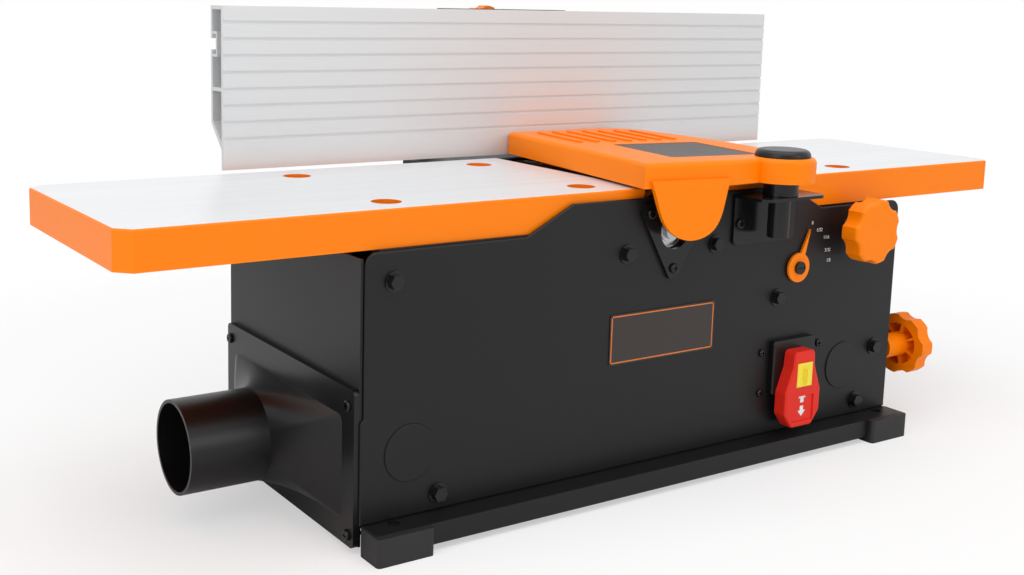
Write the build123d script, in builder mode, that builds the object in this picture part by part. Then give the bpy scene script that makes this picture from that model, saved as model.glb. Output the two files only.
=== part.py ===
from build123d import *
from math import atan, atan2, cos, degrees, pi, radians, sin, sqrt
import os

# Benchtop jointer with a spiral cutterhead, built piece by piece, in millimetres.
# +X runs along the tables to the infeed end, +Y to the fence and +Z up. The origin is
# the centre of the four bench bolt holes, on the surface that the feet stand on.

os.makedirs("parts", exist_ok=True)

# ---------------------------------------------------------------- driving dimensions
# tables
TABLE_TOP = 240.0
TABLE_HEIGHT = 27.0
TABLE_SKIN = 10.0
TABLE_WALL = 10.0
TABLE_FRONT = -106.0
TABLE_BACK = 95.0
OUTFEED_END = -441.5
INFEED_END = 408.5
THROAT_HALF = 27.0
LIP_THICKNESS = 4.0
LIP_UNDERCUT = 9.0
TABLE_CORNER = 10.0
TABLE_EDGE_R = 1.5
SINK_R = 11.0
SINK_DEPTH = 12.0
TABLE_SCREW_R = 4.0
TABLE_SCREW_HEAD_R = 6.5
TABLE_SCREW_HEAD = 8.0
TABLE_SCREW_Y = (-77.5, 62.0)
OUTFEED_SCREW_X = (-240.0, -67.0)
INFEED_SCREW_X = (62.0, 224.0)
CROSSBAR_HALF = 10.0
CROSSBAR_HEIGHT = 10.0

# cutterhead
CUT_RADIUS = 33.0
HEAD_RADIUS = 31.0
HEAD_HALF = 95.0
JOURNAL_R = 7.5
BEARING_R = 16.0
BEARING_WIDTH = 9.0
HOUSING_R = 24.0
INSERT_SIZE = 15.0
INSERT_T = 2.5
INSERT_ROWS = 4
INSERTS_PER_ROW = 6
INSERT_SCREW_R = 2.5
RETAINER_R = 30.0
RETAINER_T = 3.0

# sheet-metal base and its castings
BASE_LEFT = -276.5
BASE_RIGHT = 271.0
BASE_HALF_DEPTH = 110.0
SHEET = 2.0
PANEL_TOP = 211.7
PANEL_HIGH = 233.0
RISE_LEFT = -141.0
RISE_RIGHT = 170.5
RISE_RUN = 42.0
PANEL_STEP_Z = 94.0
PANEL_STEP = 2.5
PANEL_CORNER = 9.0
CASTING_T = 12.0
CASTING_LEFT = -262.0
CASTING_RIGHT = 262.0
CASTING_FOOT = 170.0
RAMP_FOOT = 125.0
RAMP_X = 50.0
RAMP_Z = 207.5
WAY_SLOPE = 0.25
WAY_WIDTH = 8.0
WAY_GAP = 0.05
DEPTH_OF_CUT = 3.2

# rails and feet
RAIL_OUT = 130.0
RAIL_TOP = 20.5
RAIL_BOTTOM = 5.0
RAIL_FLANGE = 24.5
FOOT_LENGTH = 45.5
FOOT_PROUD = 6.0
BENCH_X = 505.5
BENCH_Y = 232.0
BENCH_HOLE_R = 4.5

# dust outlet
PORT_R = 34.5
PORT_BORE_R = 32.0
PORT_Y = 3.0
PORT_Z = 58.0
PORT_NECK = 29.5
PORT_LENGTH = 60.5
HOOD_WIDTH = 182.0
HOOD_HEIGHT = 75.0
HOOD_WALL = 2.5
FLANGE_T = 4.0
FLANGE_Y = (-108.0, 105.0)
FLANGE_Z = (4.0, 117.0)
CHUTE_HALF = 94.0
CHUTE_WALL = 1.5

# drive
MOTOR_X = 80.0
MOTOR_Z = 115.0
MOTOR_R = 42.0
MOTOR_FRONT = -60.0
MOTOR_SHAFT_R = 6.0
HEAD_PULLEY_R = 20.0
MOTOR_PULLEY_R = 15.0
PULLEY_Y = 112.5
PULLEY_WIDTH = 13.0
BELT_T = 2.5
BELT_WIDTH = 11.0
COVER_DEPTH = 22.0
COVER_GAP = 4.0
COVER_WALL = 1.6

# infeed depth adjustment
SCREW_Y = -96.0
SCREW_Z = 72.0
SCREW_R = 4.0
NUT_X = 207.0
NUT_HALF = 8.0
ARM_T = 6.0
KNOB_GAP = 31.0

# lobed knobs
KNOB_R = 28.0
KNOB_T = 16.0
KNOB_LOBES = 7
LOCK_X = 208.0
LOCK_Z = 192.0
LOCK_HUB = 11.0
STUD_R = 4.0

# guard
GUARD_BOTTOM = 242.0
GUARD_TOP = 261.5
GUARD_WALL = 3.0
PIVOT_X = 95.5
PIVOT_Y = -130.5
BOSS_R = 26.5
CAP_R = 25.0
SHAFT_R = 6.0
BARREL_R = 9.0
COLLAR_R = 14.0
BRACKET_TOP = 230.0
BRACKET_T = 2.5
BRACKET_HALF = 35.0

# fence
FENCE_LEFT = -283.5
FENCE_LENGTH = 599.0
FENCE_FACE = 106.0
FENCE_DEPTH = 23.5
FENCE_BOTTOM = 241.0
FENCE_HEIGHT = 130.0
FENCE_WALL = 3.0
GROOVES = 8
GROOVE_PITCH = 13.2
GROOVE_DEPTH = 0.9
SLOT_Z = 340.6
SLOT_MOUTH = 4.5
SLOT_HALF = 8.0
SLOT_DEPTH = 10.0
TILT_R = 76.0
TILT_ANGLE = 12.0
TILT_MAX = 45.0
TILT_PIN_R = 4.0
CHEEK_T = 4.0
CHEEK_LEFT = -56.0
CHEEK_RIGHT = 74.0
CHEEK_TOP = 371.5
SHELF_Z = 233.4
SHELF_T = 5.0
SHELF_BACK = 135.0
EAR_T = 6.0
SHELF_LUG = 5.0

# switch, pointer, badge
SWITCH_X = 141.0
SWITCH_Z = 78.5
BEZEL_WIDTH = 50.0
BEZEL_HEIGHT = 47.0
BEZEL_T = 6.0
PADDLE_WIDTH = 42.0
POINTER_X = 143.0
POINTER_Z = 162.5
POINTER_R = 12.5
POINTER_LENGTH = 34.0
POINTER_ANGLE = 20.0
KNOCKOUT_R = 21.0

# fits
CLEAR = 0.05

# ---------------------------------------------------------------- derived places
FRONT_OUT = -BASE_HALF_DEPTH
FRONT_IN = FRONT_OUT + SHEET
BACK_OUT = BASE_HALF_DEPTH
BACK_IN = BACK_OUT - SHEET
CASTING_IN = BACK_IN - CASTING_T
TABLE_UNDER = TABLE_TOP - TABLE_HEIGHT
CUT_Z = TABLE_TOP - CUT_RADIUS - 1.0
RAIL_IN = BACK_IN - SHEET
WAY_OUT = BACK_IN - 4.0
KNOB_X = BASE_RIGHT + KNOB_GAP
BEARING_Y = BACK_IN - 0.5 - BEARING_WIDTH
FENCE_BACK = FENCE_FACE + FENCE_DEPTH
FENCE_TOP = FENCE_BOTTOM + FENCE_HEIGHT
PIN_Y = FENCE_FACE + TILT_R * cos(radians(TILT_ANGLE))
PIN_Z = FENCE_BOTTOM + TILT_R * sin(radians(TILT_ANGLE))
DRIVE_SPAN = sqrt(MOTOR_X**2 + (CUT_Z - MOTOR_Z) ** 2)

PANEL_BOLTS = (
    (-251.7, 190.6),
    (-45.6, 190.8),
    (46.6, 191.0),
    (-213.4, 33.1),
    (228.5, 33.1),
    (121.5, 138.7),
    (249.0, 80.0),
)
REAR_BOLTS = PANEL_BOLTS[:2] + PANEL_BOLTS[3:5]
SHELF_BOLTS = ((-71.0, SHELF_Z - 10.0), (71.0, SHELF_Z - 10.0))
BOLT_R = 2.5
BOLT_HEAD_R = 5.5
WASHER_R = 7.5
BOLT_REACH = 10.0
SWITCH_SCREWS = ((107.0, 92.5), (107.0, 57.8), (175.5, 92.5), (175.5, 57.8))
SWITCH_SCREW_R = 2.0
HOOD_SCREWS = ((-100.0, 105.0), (99.0, 105.0), (-100.0, 12.0), (99.0, 12.0))
KNOCKOUTS = ((-236.6, 67.0), (208.9, 68.0))
RETAINER_SCREWS = tuple(
    (RETAINER_R * cos(radians(a)), CUT_Z + RETAINER_R * sin(radians(a)))
    for a in (30, 150, 270)
)
BRACKET_SCREWS = ((70.0, 206.0), (121.0, 206.0))
BADGE = ((-60.0, 49.0), (104.5, 144.3))


# ---------------------------------------------------------------- helpers
def block(x, y, z, mode=Mode.ADD):
    """A box between the pairs x, y and z."""
    with Locations(((x[0] + x[1]) / 2, (y[0] + y[1]) / 2, (z[0] + z[1]) / 2)):
        Box(x[1] - x[0], y[1] - y[0], z[1] - z[0], mode=mode)


def rod_x(y, z, r, x, mode=Mode.ADD):
    """A round bar along X at y, z, between the pair x."""
    with Locations(((x[0] + x[1]) / 2, y, z)):
        Cylinder(r, x[1] - x[0], rotation=(0, 90, 0), mode=mode)


def rod_y(x, z, r, y, mode=Mode.ADD):
    """A round bar along Y at x, z, between the pair y."""
    with Locations((x, (y[0] + y[1]) / 2, z)):
        Cylinder(r, y[1] - y[0], rotation=(90, 0, 0), mode=mode)


def rod_z(x, y, r, z, mode=Mode.ADD):
    """A round bar along Z at x, y, between the pair z."""
    with Locations((x, y, (z[0] + z[1]) / 2)):
        Cylinder(r, z[1] - z[0], mode=mode)


def hex_y(x, z, r, y, mode=Mode.ADD):
    """A hexagonal bar along Y at x, z, between the pair y."""
    with BuildSketch(facing_front(y[1])) as outline:
        with Locations((x, z)):
            RegularPolygon(r, 6)
    extrude(outline.sketch, amount=y[1] - y[0], mode=mode)


def facing_front(y):
    """The upright plane at y with its normal to the front."""
    return Plane.XZ.offset(-y)


def facing_right(x):
    """The upright plane at x with its normal to the right."""
    return Plane.YZ.offset(x)


def plate_y(points, y, mode=Mode.ADD):
    """A plate with the x, z outline points, between the pair y."""
    with BuildSketch(facing_front(y[1])) as outline:
        with BuildLine():
            Polyline(*points, close=True)
        make_face()
    extrude(outline.sketch, amount=y[1] - y[0], mode=mode)


def plate_x(points, x, mode=Mode.ADD):
    """A plate with the y, z outline points, between the pair x."""
    with BuildSketch(facing_right(x[0])) as outline:
        with BuildLine():
            Polyline(*points, close=True)
        make_face()
    extrude(outline.sketch, amount=x[1] - x[0], mode=mode)


def save(name, piece):
    """Label a finished piece and write its STEP file."""
    piece.part.label = name
    export_step(piece.part, f"parts/{name}.step")


def knob(plane, hub, bore):
    """A lobed knob whose rim starts at the length hub from the plane."""
    with BuildPart() as body:
        with BuildSketch(plane.offset(hub)):
            Circle(KNOB_R)
            with PolarLocations(KNOB_R + 10.0, KNOB_LOBES):
                Circle(13.0, mode=Mode.SUBTRACT)
        extrude(amount=KNOB_T)
        fillet(body.faces().sort_by(Axis(plane.origin, plane.z_dir))[-1].edges(), 3.0)
        with BuildSketch(plane.offset(hub)):
            Circle(KNOB_R - 9.0)
            Circle(11.0, mode=Mode.SUBTRACT)
            with PolarLocations(0, KNOB_LOBES):
                with Locations((15.0, 0)):
                    Rectangle(14.0, 2.0, mode=Mode.SUBTRACT)
        extrude(amount=KNOB_T - 5.0, mode=Mode.SUBTRACT)
        with BuildSketch(plane):
            Circle(11.0)
        extrude(amount=hub + 1.0)
        with BuildSketch(plane):
            Circle(bore)
        extrude(amount=hub + 8.0, mode=Mode.SUBTRACT)
    return body


def panel_points(bottom):
    """The x, z outline of a long panel with the raised middle."""
    return (
        (BASE_LEFT, bottom),
        (BASE_RIGHT, bottom),
        (BASE_RIGHT, PANEL_TOP),
        (RISE_RIGHT, PANEL_TOP),
        (RISE_RIGHT - RISE_RUN, PANEL_HIGH),
        (RISE_LEFT + RISE_RUN, PANEL_HIGH),
        (RISE_LEFT, PANEL_TOP),
        (BASE_LEFT + PANEL_STEP, PANEL_TOP),
        (BASE_LEFT + PANEL_STEP, PANEL_STEP_Z + PANEL_STEP),
        (BASE_LEFT, PANEL_STEP_Z),
    )


# ---------------------------------------------------------------- sheet-metal base
with BuildPart() as front_panel:
    plate_y(panel_points(RAIL_TOP), (FRONT_OUT, FRONT_IN))
    ends = [e for e in front_panel.edges().filter_by(Axis.Y) if e.center().Z > PANEL_TOP - 1]
    fillet([e for e in ends if abs(e.center().X) > 200], PANEL_CORNER)
    outer = front_panel.faces().sort_by(Axis.Y)[0]
    fillet(outer.edges(), SHEET * 0.6)
    for x, z in PANEL_BOLTS:
        rod_y(x, z, BOLT_R, (FRONT_OUT, FRONT_IN), Mode.SUBTRACT)
    for x, z in SWITCH_SCREWS:
        rod_y(x, z, SWITCH_SCREW_R, (FRONT_OUT, FRONT_IN), Mode.SUBTRACT)
    for x, z in KNOCKOUTS:
        rod_y(x, z, KNOCKOUT_R - 3.0, (FRONT_OUT, FRONT_IN), Mode.SUBTRACT)
    for x, z in BRACKET_SCREWS + RETAINER_SCREWS:
        rod_y(x, z, SWITCH_SCREW_R, (FRONT_OUT, FRONT_IN), Mode.SUBTRACT)
    rod_y(0, CUT_Z, BEARING_R, (FRONT_OUT, FRONT_IN), Mode.SUBTRACT)
    rod_y(LOCK_X, LOCK_Z, STUD_R + 3.0, (FRONT_OUT, FRONT_IN), Mode.SUBTRACT)
    rod_y(POINTER_X, POINTER_Z, SWITCH_SCREW_R, (FRONT_OUT, FRONT_IN), Mode.SUBTRACT)
    box_x = (SWITCH_X - BEZEL_WIDTH / 2 + 4, SWITCH_X + BEZEL_WIDTH / 2 - 4)
    box_z = (SWITCH_Z - BEZEL_HEIGHT / 2 + 4, SWITCH_Z + BEZEL_HEIGHT / 2 - 4)
    block(box_x, (FRONT_OUT, FRONT_IN), box_z, Mode.SUBTRACT)
save("front_panel", front_panel)

with BuildPart() as rear_panel:
    plate_y(panel_points(RAIL_TOP), (BACK_IN, BACK_OUT))
    for x, z in REAR_BOLTS:
        rod_y(x, z, BOLT_R, (BACK_IN, BACK_OUT), Mode.SUBTRACT)
    rod_y(0, CUT_Z, BEARING_R, (BACK_IN, BACK_OUT), Mode.SUBTRACT)
    rod_y(MOTOR_X, MOTOR_Z, MOTOR_PULLEY_R + BELT_T + 2, (BACK_IN, BACK_OUT), Mode.SUBTRACT)
    for x, z in SHELF_BOLTS:
        rod_y(x, z, BOLT_R, (BACK_IN, BACK_OUT), Mode.SUBTRACT)
save("rear_panel", rear_panel)

CHUTE_MOUTH = (24.0, 94.0)
with BuildPart() as left_end_panel:
    block((BASE_LEFT, BASE_LEFT + SHEET), (FRONT_IN, BACK_IN), (RAIL_BOTTOM, PANEL_TOP - 4))
    mouth_y = (4 - CHUTE_HALF, CHUTE_HALF - 4)
    mouth_z = (CHUTE_MOUTH[0] + 2, CHUTE_MOUTH[1] - 2)
    block((BASE_LEFT, BASE_LEFT + SHEET), mouth_y, mouth_z, Mode.SUBTRACT)
    for y, z in HOOD_SCREWS:
        rod_x(y, z, SWITCH_SCREW_R, (BASE_LEFT, BASE_LEFT + SHEET), Mode.SUBTRACT)
save("left_end_panel", left_end_panel)

with BuildPart() as right_end_panel:
    block((BASE_RIGHT - SHEET, BASE_RIGHT), (FRONT_IN, BACK_IN), (RAIL_BOTTOM, PANEL_TOP - 4))
    rod_x(SCREW_Y, SCREW_Z, SCREW_R + 2, (BASE_RIGHT - SHEET, BASE_RIGHT), Mode.SUBTRACT)
    with BuildSketch(facing_right(BASE_RIGHT - SHEET)):
        with Locations((30.0, 120.0)):
            with GridLocations(40.0, 9.0, 2, 6):
                SlotOverall(30.0, 4.0)
    extrude(amount=SHEET, mode=Mode.SUBTRACT)
save("right_end_panel", right_end_panel)


def rail(side):
    """The front rail with side = -1 and the rear rail with side = 1."""
    with BuildPart() as piece:
        span = (BASE_LEFT + SHEET, BASE_RIGHT - SHEET)
        ys = sorted((side * RAIL_IN, side * RAIL_OUT))
        block(span, ys, (RAIL_TOP - SHEET, RAIL_TOP))
        ys = sorted((side * (RAIL_OUT - SHEET), side * RAIL_OUT))
        block(span, ys, (RAIL_BOTTOM, RAIL_TOP))
        ys = sorted((side * RAIL_IN, side * BACK_IN))
        block(span, ys, (RAIL_TOP - SHEET, RAIL_TOP + RAIL_FLANGE))
        for x, z in PANEL_BOLTS[3:5]:
            rod_y(x, z, BOLT_R, ys, Mode.SUBTRACT)
        for x in (-BENCH_X / 2, BENCH_X / 2):
            hole = (RAIL_TOP - SHEET, RAIL_TOP)
            rod_z(x, side * BENCH_Y / 2, BENCH_HOLE_R, hole, Mode.SUBTRACT)
    return piece


front_rail = rail(-1)
save("front_rail", front_rail)
rear_rail = rail(1)
save("rear_rail", rear_rail)

with BuildPart() as foot_caps:
    for side in (-1, 1):
        for x in ((BASE_LEFT, BASE_LEFT + FOOT_LENGTH), (BASE_RIGHT - FOOT_LENGTH, BASE_RIGHT)):
            ys = sorted((side * BACK_OUT, side * (RAIL_OUT + FOOT_PROUD)))
            block(x, ys, (0, RAIL_TOP))
    fillet(foot_caps.edges().filter_by(Axis.Z), 3.0)
    for side in (-1, 1):
        span = (BASE_LEFT + SHEET, BASE_RIGHT - SHEET)
        ys = sorted((side * RAIL_IN, side * RAIL_OUT))
        block(span, ys, (RAIL_TOP - SHEET, RAIL_TOP), Mode.SUBTRACT)
        ys = sorted((side * (RAIL_OUT - SHEET), side * RAIL_OUT))
        block(span, ys, (RAIL_BOTTOM, RAIL_TOP), Mode.SUBTRACT)
        for x in (-BENCH_X / 2, BENCH_X / 2):
            rod_z(x, side * BENCH_Y / 2, BENCH_HOLE_R, (0, RAIL_TOP), Mode.SUBTRACT)
save("foot_caps", foot_caps)

with BuildPart() as knockout_discs:
    for x, z in KNOCKOUTS:
        rod_y(x, z, KNOCKOUT_R, (FRONT_OUT - 1.0, FRONT_OUT))
    fillet(knockout_discs.faces().sort_by(Axis.Y)[0:2].edges(), 0.6)
    for x, z in KNOCKOUTS:
        rod_y(x, z, KNOCKOUT_R - 3.0, (FRONT_OUT, FRONT_IN + 1.5))
save("knockout_discs", knockout_discs)

with BuildPart() as badge_plate:
    block(BADGE[0], (FRONT_OUT - 0.8, FRONT_OUT), BADGE[1])
    fillet(badge_plate.edges().filter_by(Axis.Y), 2.0)
save("badge_plate", badge_plate)


# ---------------------------------------------------------------- side castings
def casting(side):
    """The front side casting with side = -1 and the rear one with side = 1."""
    ys = sorted((side * CASTING_IN, side * BACK_IN))
    ramp_low = RAMP_Z - (CASTING_RIGHT - RAMP_X) * WAY_SLOPE
    with BuildPart() as piece:
        block((CASTING_LEFT, 0), ys, (CASTING_FOOT, TABLE_UNDER))
        rod_y(0, CUT_Z, HOUSING_R, ys)
        ramp = (
            (-10, CASTING_FOOT),
            (60, CASTING_FOOT),
            (100, RAMP_FOOT),
            (CASTING_RIGHT, RAMP_FOOT),
            (CASTING_RIGHT, ramp_low),
            (RAMP_X, RAMP_Z),
            (RAMP_X, RAMP_Z - 4),
            (-10, RAMP_Z - 4),
        )
        plate_y(ramp, ys)
        rod_y(0, CUT_Z, BEARING_R - 4.0, ys, Mode.SUBTRACT)
        seat = sorted((side * BEARING_Y, side * BACK_IN))
        rod_y(0, CUT_Z, BEARING_R, seat, Mode.SUBTRACT)
        for x, z in PANEL_BOLTS[:3] + PANEL_BOLTS[5:6]:
            rod_y(x, z, BOLT_R, ys, Mode.SUBTRACT)
        for x, z in RETAINER_SCREWS + BRACKET_SCREWS + ((POINTER_X, POINTER_Z),):
            rod_y(x, z, SWITCH_SCREW_R, ys, Mode.SUBTRACT)
        if side > 0:
            rod_y(MOTOR_X, MOTOR_Z, MOTOR_R + 1.0, ys, Mode.SUBTRACT)
        window = (CASTING_LEFT + 26, -60)
        middle = sorted((side * (CASTING_IN + 4), side * BACK_IN))
        block(window, middle, (CASTING_FOOT + 8, TABLE_UNDER - 8), Mode.SUBTRACT)
    return piece


front_side_casting = casting(-1)
save("front_side_casting", front_side_casting)
rear_side_casting = casting(1)
save("rear_side_casting", rear_side_casting)

with BuildPart() as outfeed_crossbars:
    for x in OUTFEED_SCREW_X:
        span = (x - CROSSBAR_HALF, x + CROSSBAR_HALF)
        block(span, (-CASTING_IN, CASTING_IN), (TABLE_UNDER - CROSSBAR_HEIGHT, TABLE_UNDER))
        for y in TABLE_SCREW_Y:
            rod_z(x, y, TABLE_SCREW_R, (TABLE_UNDER - CROSSBAR_HEIGHT, TABLE_UNDER), Mode.SUBTRACT)
save("outfeed_crossbars", outfeed_crossbars)

# ---------------------------------------------------------------- tables
SINK_FLOOR = TABLE_TOP - SINK_DEPTH


def table(near, far, screws):
    """A table from its lip at x = near to its end at x = far."""
    way = 1 if far > near else -1
    with BuildPart() as piece:
        block(sorted((near, far)), (TABLE_FRONT, TABLE_BACK), (TABLE_UNDER, TABLE_TOP))
        corners = piece.edges().filter_by(Axis.Z)
        corners = corners.sort_by(Axis.X)[-2:] if way > 0 else corners.sort_by(Axis.X)[:2]
        chamfer(corners, TABLE_CORNER)
        rim = piece.faces().sort_by(Axis.Z)[-1].edges()
        fillet([e for e in rim if abs(e.center().X - near) > 1], TABLE_EDGE_R)
        lip = (
            (near, TABLE_TOP - LIP_THICKNESS),
            (near + way * LIP_UNDERCUT, TABLE_UNDER),
            (near, TABLE_UNDER),
        )
        plate_y(lip, (TABLE_FRONT, TABLE_BACK), Mode.SUBTRACT)
        stops = [near + way * (LIP_UNDERCUT + TABLE_WALL)]
        for x in sorted(screws, key=abs):
            stops += [x - way * CROSSBAR_HALF, x + way * CROSSBAR_HALF]
        stops += [far - way * TABLE_WALL]
        middle = (TABLE_FRONT + TABLE_BACK) / 2
        rows = ((TABLE_FRONT + TABLE_WALL, middle - 4), (middle + 4, TABLE_BACK - TABLE_WALL))
        for a, b in zip(stops[::2], stops[1::2]):
            if way * (b - a) > 4:
                for y in rows:
                    pocket = (TABLE_UNDER, TABLE_TOP - TABLE_SKIN)
                    block(sorted((a, b)), y, pocket, Mode.SUBTRACT)
        for x in screws:
            for y in TABLE_SCREW_Y:
                rod_z(x, y, TABLE_SCREW_R, (TABLE_UNDER, TABLE_TOP), Mode.SUBTRACT)
                rod_z(x, y, SINK_R, (SINK_FLOOR, TABLE_TOP), Mode.SUBTRACT)
    return piece


outfeed_table = table(-THROAT_HALF, OUTFEED_END, OUTFEED_SCREW_X)
save("outfeed_table", outfeed_table)
infeed_table = table(THROAT_HALF, INFEED_END, INFEED_SCREW_X)
save("infeed_table", infeed_table)


def table_screws(xs, reach):
    """Socket-head screws that hold a table, at the places xs."""
    with BuildPart() as piece:
        for x in xs:
            for y in TABLE_SCREW_Y:
                rod_z(x, y, TABLE_SCREW_R, (TABLE_UNDER - reach, SINK_FLOOR))
                rod_z(x, y, TABLE_SCREW_HEAD_R, (SINK_FLOOR, SINK_FLOOR + TABLE_SCREW_HEAD))
                with BuildSketch(Plane.XY.offset(SINK_FLOOR + TABLE_SCREW_HEAD)):
                    with Locations((x, y)):
                        RegularPolygon(3.5, 6)
                extrude(amount=-5.0, mode=Mode.SUBTRACT)
    return piece


outfeed_screws = table_screws(OUTFEED_SCREW_X, CROSSBAR_HEIGHT)
save("outfeed_screws", outfeed_screws)
infeed_screws = table_screws(INFEED_SCREW_X, CROSSBAR_HEIGHT - 2)
save("infeed_screws", infeed_screws)

with BuildPart() as infeed_carriage:
    left = RAMP_X - 4
    right = CASTING_RIGHT - 14
    left_z = RAMP_Z - (left - RAMP_X) * WAY_SLOPE + WAY_GAP
    right_z = RAMP_Z - (right - RAMP_X) * WAY_SLOPE + WAY_GAP
    wedge = ((left, left_z), (right, right_z), (right, TABLE_UNDER), (left, TABLE_UNDER))
    plate_y(wedge, (-WAY_OUT, -WAY_OUT + WAY_WIDTH + 4))
    plate_y(wedge, (WAY_OUT - WAY_WIDTH - 4, WAY_OUT))
    for x in INFEED_SCREW_X:
        inner = WAY_OUT - WAY_WIDTH - 4
        span = (x - CROSSBAR_HALF, x + CROSSBAR_HALF)
        bar_z = (TABLE_UNDER - CROSSBAR_HEIGHT + 2, TABLE_UNDER)
        block(span, (-inner, inner), bar_z)
        for y in TABLE_SCREW_Y:
            rod_z(x, y, TABLE_SCREW_R, bar_z, Mode.SUBTRACT)
save("infeed_carriage", infeed_carriage)

# ---------------------------------------------------------------- cutterhead
INSERT_STEP = 2 * (HEAD_HALF - 14) / (INSERTS_PER_ROW - 1)
POCKET_R = HEAD_RADIUS - 3.0


def insert_places():
    """The angle about the head and the y of each carbide insert, in spiral rows."""
    places = []
    for row in range(INSERT_ROWS):
        for i in range(INSERTS_PER_ROW):
            y = 14 - HEAD_HALF + i * INSERT_STEP
            places.append((row * 360 / INSERT_ROWS + i * 14.0, y))
    return places


def head_plane(angle, y):
    """The plane on an insert pocket's floor, with x along the cut and z outwards."""
    out = Vector(cos(radians(angle)), 0, sin(radians(angle)))
    return Plane(Vector(0, y, CUT_Z) + out * POCKET_R, x_dir=(0, 1, 0), z_dir=out)


with BuildPart() as cutterhead:
    rod_y(0, CUT_Z, HEAD_RADIUS, (-HEAD_HALF, HEAD_HALF))
    chamfer(cutterhead.edges().filter_by(GeomType.CIRCLE), 2.0)
    rod_y(0, CUT_Z, BEARING_R - 6.0, (-CASTING_IN + 0.5, CASTING_IN - 0.5))
    shaft_r = JOURNAL_R - CLEAR
    rod_y(0, CUT_Z, shaft_r, (FRONT_OUT - 1.0, PULLEY_Y + PULLEY_WIDTH + 2))
    for angle, y in insert_places():
        with BuildSketch(head_plane(angle, y)):
            Rectangle(INSERT_SIZE, INSERT_SIZE)
            with Locations((0, INSERT_SIZE / 2 + 5)):
                Rectangle(INSERT_SIZE + 2, 10.2)
        extrude(amount=12.0, mode=Mode.SUBTRACT)
        with BuildSketch(head_plane(angle, y)):
            Circle(INSERT_SCREW_R)
        extrude(amount=-8.0, mode=Mode.SUBTRACT)
save("cutterhead", cutterhead)

with BuildPart() as cutter_inserts:
    for angle, y in insert_places():
        with BuildSketch(head_plane(angle, y)):
            Rectangle(INSERT_SIZE - 2 * CLEAR, INSERT_SIZE - 2 * CLEAR)
            Circle(INSERT_SCREW_R, mode=Mode.SUBTRACT)
        extrude(amount=INSERT_T)
save("cutter_inserts", cutter_inserts)

with BuildPart() as insert_screws:
    for angle, y in insert_places():
        with BuildSketch(head_plane(angle, y).offset(-8)):
            Circle(INSERT_SCREW_R)
        extrude(amount=8.0 + INSERT_T)
        with BuildSketch(head_plane(angle, y).offset(INSERT_T)):
            Circle(INSERT_SCREW_R + 1.2)
            RegularPolygon(1.6, 6, mode=Mode.SUBTRACT)
        extrude(amount=0.8)
save("insert_screws", insert_screws)


def bearing(side):
    """A ball bearing of the head, in front with side = -1 and behind with side = 1."""
    ys = sorted((side * BEARING_Y, side * (BEARING_Y + BEARING_WIDTH)))
    with BuildPart() as piece:
        rod_y(0, CUT_Z, BEARING_R, ys)
        rod_y(0, CUT_Z, JOURNAL_R, ys, Mode.SUBTRACT)
        ends = (side * BEARING_Y, side * (BEARING_Y + BEARING_WIDTH))
        for end, depth in zip(ends, (side, -side)):
            groove = sorted((end, end + depth))
            with BuildSketch(facing_front(groove[1])):
                with Locations((0, CUT_Z)):
                    Circle(BEARING_R - 2.5)
                    Circle(JOURNAL_R + 2.5, mode=Mode.SUBTRACT)
            extrude(amount=1.0, mode=Mode.SUBTRACT)
    return piece


front_bearing = bearing(-1)
save("front_bearing", front_bearing)
rear_bearing = bearing(1)
save("rear_bearing", rear_bearing)

with BuildPart() as bearing_retainer:
    with BuildSketch(facing_front(FRONT_OUT)):
        with Locations((0, CUT_Z)):
            RegularPolygon(RETAINER_R + 15.0, 3, rotation=30)
    extrude(amount=RETAINER_T)
    chamfer(bearing_retainer.edges().filter_by(Axis.Y), 8.0)
    rod_y(0, CUT_Z, BEARING_R - 1.2, (FRONT_OUT - RETAINER_T, FRONT_OUT), Mode.SUBTRACT)
    for x, z in RETAINER_SCREWS:
        rod_y(x, z, SWITCH_SCREW_R, (FRONT_OUT - RETAINER_T, FRONT_OUT), Mode.SUBTRACT)
save("bearing_retainer", bearing_retainer)


def pan_screws(places, face, reach, head_r=4.0):
    """Pan-head screws along Y whose heads stand on the plane at y = face."""
    with BuildPart() as piece:
        for x, z in places:
            rod_y(x, z, SWITCH_SCREW_R, (face, face + reach))
            rod_y(x, z, head_r, (face - 2.5, face))
        heads = piece.faces().group_by(Axis.Y)[0]
        fillet([e for f in heads for e in f.edges()], 1.2)
        for x, z in places:
            block((x - 2.4, x + 2.4), (face - 2.5, face - 1), (z - 0.5, z + 0.5), Mode.SUBTRACT)
            block((x - 0.5, x + 0.5), (face - 2.5, face - 1), (z - 2.4, z + 2.4), Mode.SUBTRACT)
    return piece


retainer_screws = pan_screws(RETAINER_SCREWS, FRONT_OUT - RETAINER_T, RETAINER_T + 3.0)
bracket_screws = pan_screws(BRACKET_SCREWS, FRONT_OUT - BRACKET_T, BRACKET_T + 3.0)
switch_screws = pan_screws(SWITCH_SCREWS, FRONT_OUT, 5.0, 3.2)
with BuildPart() as pan_head_screws:
    add(retainer_screws.part)
    add(bracket_screws.part)
    add(switch_screws.part)
save("pan_head_screws", pan_head_screws)


# ---------------------------------------------------------------- drive
def pulley(x, z, r, bore):
    """A ribbed-belt pulley with two flanges, at x, z behind the rear panel."""
    with BuildPart() as piece:
        rod_y(x, z, r + BELT_T + 1.0, (PULLEY_Y, PULLEY_Y + PULLEY_WIDTH))
        with BuildSketch(facing_front(PULLEY_Y + PULLEY_WIDTH - 0.9)):
            with Locations((x, z)):
                Circle(r + BELT_T + 1.0)
                Circle(r, mode=Mode.SUBTRACT)
        extrude(amount=PULLEY_WIDTH - 1.8, mode=Mode.SUBTRACT)
        rod_y(x, z, bore, (PULLEY_Y, PULLEY_Y + PULLEY_WIDTH), Mode.SUBTRACT)
    return piece


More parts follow.
